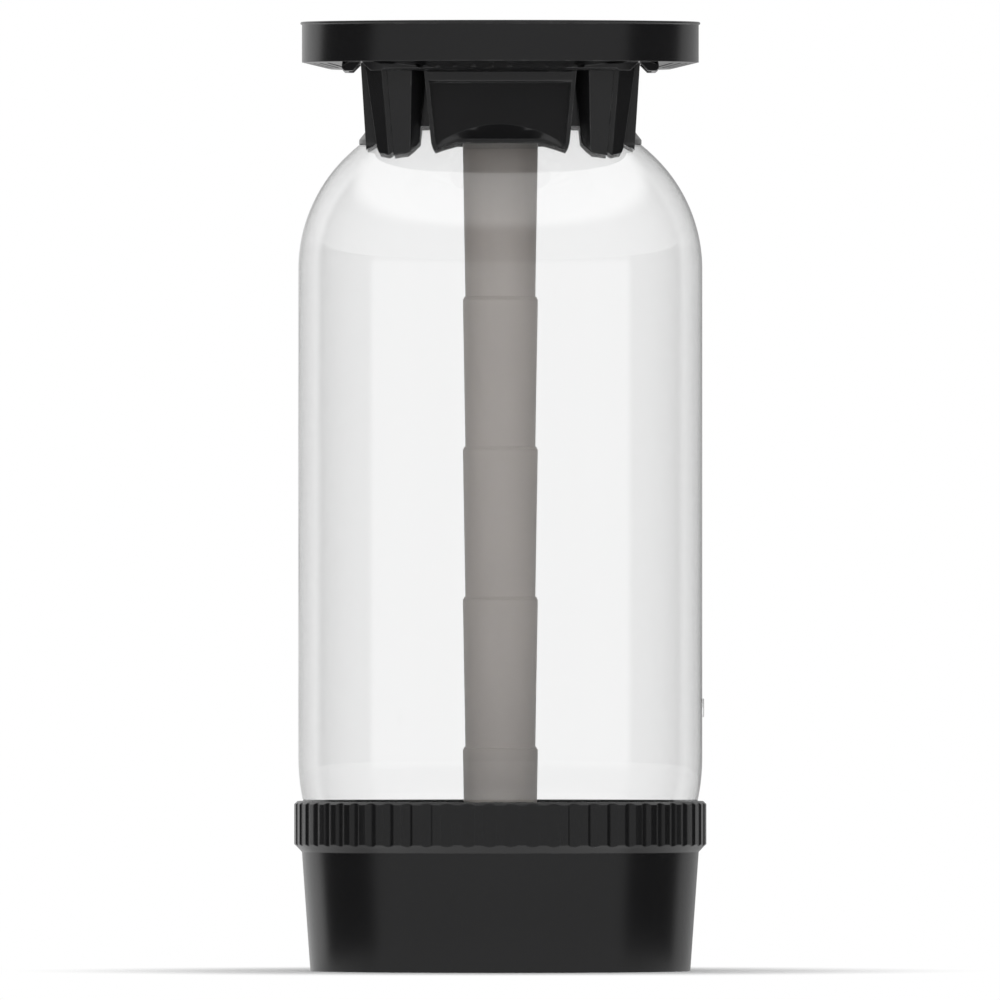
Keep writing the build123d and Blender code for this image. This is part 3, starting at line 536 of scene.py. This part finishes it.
# %% Milky plastic
milky, tree = new_material("milky_spear")
skin = put(
    tree,
    "ShaderNodeGroup",
    {"node_tree": skin_group},
    Color=(0.56, 0.515, 0.48, 1),
    Roughness=0.42,
    Grain=0.4,
    Grain_Scale=900.0,
    Rubbed=0.0,
).outputs
bump = put(tree, "ShaderNodeBump", Strength=0.2, Distance=0.0001, Height=skin["Height"])
tube = put(
    tree,
    "ShaderNodeBsdfPrincipled",
    Base_Color=skin["Color"],
    Roughness=skin["Roughness"],
    Transmission_Weight=0.1,
    IOR=1.5,
    Normal=bump.outputs[0],
)
show(tree, tube)
print("milky spear has", len(tree.nodes), "nodes")

# %% [markdown]
# ## Pieces from a turned line
# The bottle and the spear are round all over, as if turned on a lathe. By hand one would
# draw half of the outline, point by point, and spin it about the axis. These helpers do
# that: `start_line` leaves one selected point, `line_to` extrudes it, `arc_about` spins it
# round a centre, and `turn_line` makes the solid.

# %% Draw the outline
MM = 0.001
SAME_POINT = 1e-6
SMOOTH_BELOW = math.radians(35)


def start_line(name, radius, height):
    """A new object with one selected point, in edit mode."""
    bpy.ops.object.select_all(action="DESELECT")
    bpy.ops.mesh.primitive_plane_add(size=MM, location=(0, 0, 0))
    drawn = bpy.context.object
    drawn.name = name
    bpy.ops.object.mode_set(mode="EDIT")
    bpy.ops.mesh.select_mode(type="VERT")
    bpy.ops.mesh.select_all(action="SELECT")
    bpy.ops.mesh.merge(type="CENTER")
    bpy.ops.transform.translate(value=(radius * MM, 0, height * MM))
    return drawn


def pen(drawn):
    """Where the selected point is, in millimetres."""
    point = [vert.co for vert in bmesh.from_edit_mesh(drawn.data).verts if vert.select][0]
    return point.x / MM, point.z / MM


def line_to(drawn, *points):
    """Extrudes the selected point to each radius and height in turn."""
    for radius, height in points:
        x, z = pen(drawn)
        bpy.ops.mesh.extrude_region_move(
            TRANSFORM_OT_translate={"value": ((radius - x) * MM, 0, (height - z) * MM)}
        )


def arc_about(radius, height, degrees, steps):
    """Spins the selected point round a centre; positive turns from down to outwards."""
    bpy.ops.mesh.spin(
        steps=steps,
        angle=math.radians(degrees),
        center=(radius * MM, 0, height * MM),
        axis=(0, 1, 0),
    )


# %% Turn it
def turn_line(drawn, steps):
    """Spins the whole line about the keg's axis into a closed solid."""
    bpy.ops.mesh.select_all(action="SELECT")
    bpy.ops.mesh.spin(steps=steps, angle=2 * math.pi, center=(0, 0, 0), axis=(0, 0, 1))
    bpy.ops.mesh.select_all(action="SELECT")
    bpy.ops.mesh.remove_doubles(threshold=SAME_POINT)
    bpy.ops.mesh.select_all(action="SELECT")
    bpy.ops.mesh.normals_make_consistent(inside=False)
    bpy.ops.object.mode_set(mode="OBJECT")
    bpy.ops.object.shade_smooth_by_angle(angle=SMOOTH_BELOW)
    print(drawn.name, "has", len(drawn.data.polygons), "faces")


# %% [markdown]
# ## The bottle
# A tube of hot plastic is blown into a mould, so the wall is thin and even: a half ball at
# the bottom, a straight barrel, a round knuckle and a flatter crown. The neck and its ring
# are moulded before the blowing and stay thick.

# %% Bottle sizes
BOTTLE_R = 120.1
WALL = 1.0
BOTTLE_LOW = 6.6
BARREL_LOW = BOTTLE_LOW + BOTTLE_R
SHOULDER_Z = 417.4
KNUCKLE_C = 27.1  # the knuckle's centre, out from the axis
KNUCKLE_R = BOTTLE_R - KNUCKLE_C
CROWN_TOP = 521.4
NECK_R = 27.5
BORE_R = 23.5
NECK_TOP = 545.0
NECK_EDGE = 0.4
NECK_RING_R = 34.0
NECK_RING_TOP = CROWN_TOP + 3.0
NECK_RING_EDGE = 0.5
crown_rise = CROWN_TOP - SHOULDER_Z - KNUCKLE_R
CROWN_R = KNUCKLE_R + (KNUCKLE_C**2 + crown_rise**2) / (2 * crown_rise)
CROWN_C = CROWN_TOP - CROWN_R
knuckle_turn = math.degrees(math.atan2(SHOULDER_Z - CROWN_C, KNUCKLE_C))


def crown_turn(grow, top_radius):
    """Degrees from the end of the knuckle to a radius on the crown."""
    return math.degrees(math.acos(top_radius / (CROWN_R + grow))) - knuckle_turn


print("knuckle turns", round(knuckle_turn, 1), "degrees; crown radius", round(CROWN_R, 1))

# %% [markdown]
# The outline goes up the outside, over the rim of the neck and back down the inside, so the
# turned solid has a real wall. The arcs have as many steps as their size in the picture
# needs.

# %% Bottle
BALL_STEPS = 36
KNUCKLE_STEPS = 22
CROWN_STEPS = 12
BOTTLE_STEPS = 160

bottle = start_line("bottle_wall", 0.0, BOTTLE_LOW)
arc_about(0, BARREL_LOW, 90, BALL_STEPS)
line_to(bottle, (BOTTLE_R, SHOULDER_Z))
arc_about(KNUCKLE_C, SHOULDER_Z, knuckle_turn, KNUCKLE_STEPS)
arc_about(0, CROWN_C, crown_turn(0, NECK_R), CROWN_STEPS)
line_to(
    bottle,
    (NECK_R, CROWN_TOP - NECK_EDGE),
    (NECK_R + NECK_EDGE, CROWN_TOP),
    (NECK_RING_R - NECK_RING_EDGE, CROWN_TOP),
    (NECK_RING_R, CROWN_TOP + NECK_RING_EDGE),
    (NECK_RING_R, NECK_RING_TOP - NECK_RING_EDGE),
    (NECK_RING_R - NECK_RING_EDGE, NECK_RING_TOP),
    (NECK_R, NECK_RING_TOP),
    (NECK_R, NECK_TOP - NECK_EDGE),
    (NECK_R - NECK_EDGE, NECK_TOP),
    (BORE_R + NECK_EDGE, NECK_TOP),
    (BORE_R, NECK_TOP - NECK_EDGE),
    (BORE_R, CROWN_C + math.sqrt((CROWN_R - WALL) ** 2 - BORE_R**2)),
)
arc_about(0, CROWN_C, -crown_turn(-WALL, BORE_R), CROWN_STEPS)
arc_about(KNUCKLE_C, SHOULDER_Z, -knuckle_turn, KNUCKLE_STEPS)
line_to(bottle, (BOTTLE_R - WALL, BARREL_LOW))
arc_about(0, BARREL_LOW, -90, BALL_STEPS)
turn_line(bottle, BOTTLE_STEPS)
bottle.data.materials.append(clear_wall)
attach(bottle, "keg")
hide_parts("bottle")

# %% [markdown]
# ## The mould mark
# Low on one side the blow mould leaves a small round pad that stands a millimetre proud.
# It is a short cylinder, sunk a little into the wall, with its rim rounded by a bevel.

# %% Mould mark
MARK_R = 5.5
MARK_PROUD = 1.0
MARK_SINK = 0.4
MARK_EDGE = 0.4
MARK_Z = 156.5

bpy.ops.object.select_all(action="DESELECT")
bpy.ops.mesh.primitive_cylinder_add(
    vertices=48,
    radius=MARK_R * MM,
    depth=(MARK_PROUD + MARK_SINK) * MM,
    location=((BOTTLE_R + (MARK_PROUD - MARK_SINK) / 2) * MM, 0, MARK_Z * MM),
    rotation=(0, math.pi / 2, 0),
)
mark = bpy.context.object
mark.name = "mould_mark"
bpy.ops.object.transform_apply(location=True, rotation=True, scale=True)
soft_edge = mark.modifiers.new("soft edge", "BEVEL")
soft_edge.width = MARK_EDGE * MM
soft_edge.segments = 4
bpy.ops.object.modifier_apply(modifier=soft_edge.name)
bpy.ops.object.shade_smooth_by_angle(angle=SMOOTH_BELOW)
mark.data.materials.append(clear_wall)
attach(mark, "keg")
print("mark has", len(mark.data.polygons), "faces")

# %% [markdown]
# ## Copies with their own mesh
# A piece that repeats is copied, and a CAD part that needs a change is copied first, so the
# original stays as it is. A CAD part's mesh is loose triangles: its points are merged, with
# its sharp edges kept, before anything is pulled.


# %% Copies
def own_copy(source, name):
    """A copy with a mesh of its own, alone selected and active."""
    copy = source.copy()
    copy.data = source.data.copy()
    copy.name = name
    copy.parent = None
    bpy.context.scene.collection.objects.link(copy)
    bpy.ops.object.select_all(action="DESELECT")
    copy.select_set(True)
    bpy.context.view_layer.objects.active = copy
    return copy


def merged_copy(node_name, name, material):
    """A CAD part's copy in one material, with its triangles merged."""
    copy = own_copy(nodes[node_name], name)
    copy.data.materials.clear()
    copy.data.materials.append(material)
    bpy.ops.object.mode_set(mode="EDIT")
    bpy.ops.mesh.select_all(action="SELECT")
    bpy.ops.mesh.remove_doubles(threshold=SAME_POINT, use_sharp_edge_from_normals=True)
    bpy.ops.mesh.customdata_custom_splitnormals_clear()
    bpy.ops.object.mode_set(mode="OBJECT")
    print(name, "has", len(copy.data.vertices), "points")
    return copy


# %% [markdown]
# ## The panels of the hand pockets
# In the photograph the panel behind each pocket's bar mirrors the dark above the camera, so
# it leans back. The CAD panel is nearly upright. So each row of a panel's points is moved
# onto a straight line that leans back, once for each of the four pockets.

# %% Lean the panels back
PANEL_HALF_W = 42.4
PANEL_OUT = (76.7, 79.2)  # where the CAD panel's points lie, out from the axis
PANEL_Z = (484.0, 528.0)
PANEL_FOOT = 79.3  # how far out the panel's foot comes
PANEL_HEAD = 76.2

ring = merged_copy("handle", "handle_ring", ring_black)
bpy.ops.object.mode_set(mode="EDIT")
bpy.ops.mesh.select_mode(type="VERT")
cage = bmesh.from_edit_mesh(ring.data)
for quarter in range(4):
    outward = Vector((0, -1, 0))
    outward.rotate(Euler((0, 0, quarter * math.pi / 2)))
    across = outward.cross(Vector((0, 0, 1)))
    rows = {}
    for point in cage.verts:
        out, aside = point.co.dot(outward) / MM, point.co.dot(across) / MM
        z = point.co.z / MM
        in_depth = PANEL_OUT[0] < out < PANEL_OUT[1]
        if in_depth and PANEL_Z[0] < z < PANEL_Z[1] and abs(aside) < PANEL_HALF_W:
            rows.setdefault(round(z, 1), []).append(point)
    for z, row in rows.items():
        bpy.ops.mesh.select_all(action="DESELECT")
        for point in row:
            point.select = True
        cage.select_flush_mode()
        share = (z - PANEL_Z[0]) / (PANEL_Z[1] - PANEL_Z[0])
        wanted = PANEL_FOOT + share * (PANEL_HEAD - PANEL_FOOT)
        shift = wanted - row[0].co.dot(outward) / MM
        bpy.ops.transform.translate(value=outward * shift * MM)
    print("panel", quarter, "has", len(rows), "rows of points")

# %% [markdown]
# The lower front edge of each bar is well rounded and catches the light from below. Those
# edges are found by their place, bevelled, and the large faces are kept flat by weighting
# the normals.

# %% Round the bars
BAR_EDGE_Z = 527.8
BAR_EDGE_OUT = 82.2
BAR_EDGE_ROUND = 1.3
NEAR = 0.25

bpy.ops.mesh.select_mode(type="EDGE")
bpy.ops.mesh.select_all(action="DESELECT")
for edge in cage.edges:
    ends = [vert.co / MM for vert in edge.verts]
    level = all(abs(end.z - BAR_EDGE_Z) < NEAR for end in ends)
    outs = [max(abs(end.x), abs(end.y)) for end in ends]
    if level and all(abs(out - BAR_EDGE_OUT) < NEAR for out in outs):
        edge.select = True
print("rounding", sum(edge.select for edge in cage.edges), "bar edges")
bpy.ops.mesh.bevel(offset=BAR_EDGE_ROUND * MM, segments=4)
bpy.ops.object.mode_set(mode="OBJECT")
even = ring.modifiers.new("even shading", "WEIGHTED_NORMAL")
even.keep_sharp = True
bpy.ops.object.modifier_apply(modifier=even.name)
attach(ring, "keg")
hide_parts("handle")

# %% [markdown]
# ## The spear tube
# Five tapered modules plug into each other. Each has a slightly thicker, rounded rim at
# the top, and a narrow stop bead that sits on the rim of the next one. One module is
# turned and then copied down, each copy with a mesh of its own. The CAD parts tell where
# the rims are.

# %% Spear sizes
RIM_R = 22.3
RIM_EDGE = 0.3
RIM_BAND = 10.0
LOW_R = 20.8
TUBE_WALL = 1.45
STOP_R = 21.7
STOP_T = 1.2
STOP_EDGE = 0.2
PLUG = 12.0
SPEAR_STEPS = 96
segment_names = sorted(name for name in nodes if name.startswith("spear_segment"))
rims = [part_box(name)[1].z / MM for name in segment_names]
first_rim = rims[0]
pitch = first_rim - rims[1]
taper = (RIM_R - LOW_R) / pitch
stop_z = first_rim - pitch
tip_z = stop_z - PLUG
tip_r = LOW_R - taper * PLUG
print("module pitch", round(pitch, 2), "mm")

# %% Turn the first module and copy it down
module = start_line("spear_module_1", RIM_R - TUBE_WALL + RIM_EDGE, first_rim)
line_to(
    module,
    (RIM_R - RIM_EDGE, first_rim),
    (RIM_R, first_rim - RIM_EDGE),
    (RIM_R - taper * RIM_BAND, first_rim - RIM_BAND),
    (LOW_R + taper * (STOP_T + STOP_EDGE), stop_z + STOP_T + STOP_EDGE),
    (STOP_R - STOP_EDGE, stop_z + STOP_T),
    (STOP_R, stop_z + STOP_T - STOP_EDGE),
    (STOP_R, stop_z + STOP_EDGE),
    (STOP_R - STOP_EDGE, stop_z),
    (LOW_R, stop_z),
    (tip_r + taper * RIM_EDGE, tip_z + RIM_EDGE),
    (tip_r - RIM_EDGE, tip_z),
    (tip_r - TUBE_WALL + RIM_EDGE, tip_z),
    (tip_r - TUBE_WALL, tip_z + RIM_EDGE),
    (RIM_R - TUBE_WALL, first_rim - RIM_EDGE),
    (RIM_R - TUBE_WALL + RIM_EDGE, first_rim),
)
turn_line(module, SPEAR_STEPS)
module.data.materials.append(milky)
modules = [module]
for number, rim in enumerate(rims[1:], start=2):
    copy = own_copy(module, f"spear_module_{number}")
    copy.location.z = (rim - first_rim) * MM
    bpy.ops.object.transform_apply(location=True)
    modules.append(copy)
for piece, node_name in zip(modules, segment_names):
    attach(piece, "keg")
    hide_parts(node_name)

# %% [markdown]
# ## The springs
# Each spring stands on one part and pushes another. Its CAD mesh is copied in spring steel,
# with its points merged and smooth shading, and takes the CAD part's place.


# %% Springs
def springy(node_name):
    """A merged, smooth-shaded copy of a spring in spring steel, in place of the CAD part."""
    coil = merged_copy(node_name, f"{node_name}_coil", spring_steel)
    bpy.ops.object.shade_smooth_by_angle(angle=SMOOTH_BELOW)
    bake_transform(coil)
    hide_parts(node_name)


springy("sleeve_spring")
springy("plug_spring")

# %% [markdown]
# ## Finishes for the CAD parts
# The cup, the valve and the spear's foot keep their exact CAD shapes and only get their
# plastics.

# %% Give each CAD part its finish
finishes = {
    ring_black: ["base_cup"],
    valve_grey: ["valve_housing", "gas_sleeve", "plug_spring_seat"],
    cap_dark: ["valve_cap", "product_plug"],
    seal_rubber: ["neck_gasket", "guide_seal", "sleeve_gasket", "plug_seal"],
    milky: ["spear_foot"],
}
for material, names in finishes.items():
    for name in names:
        nodes[name].material_slots[0].material = material
    print(material.name, "on", ", ".join(names))
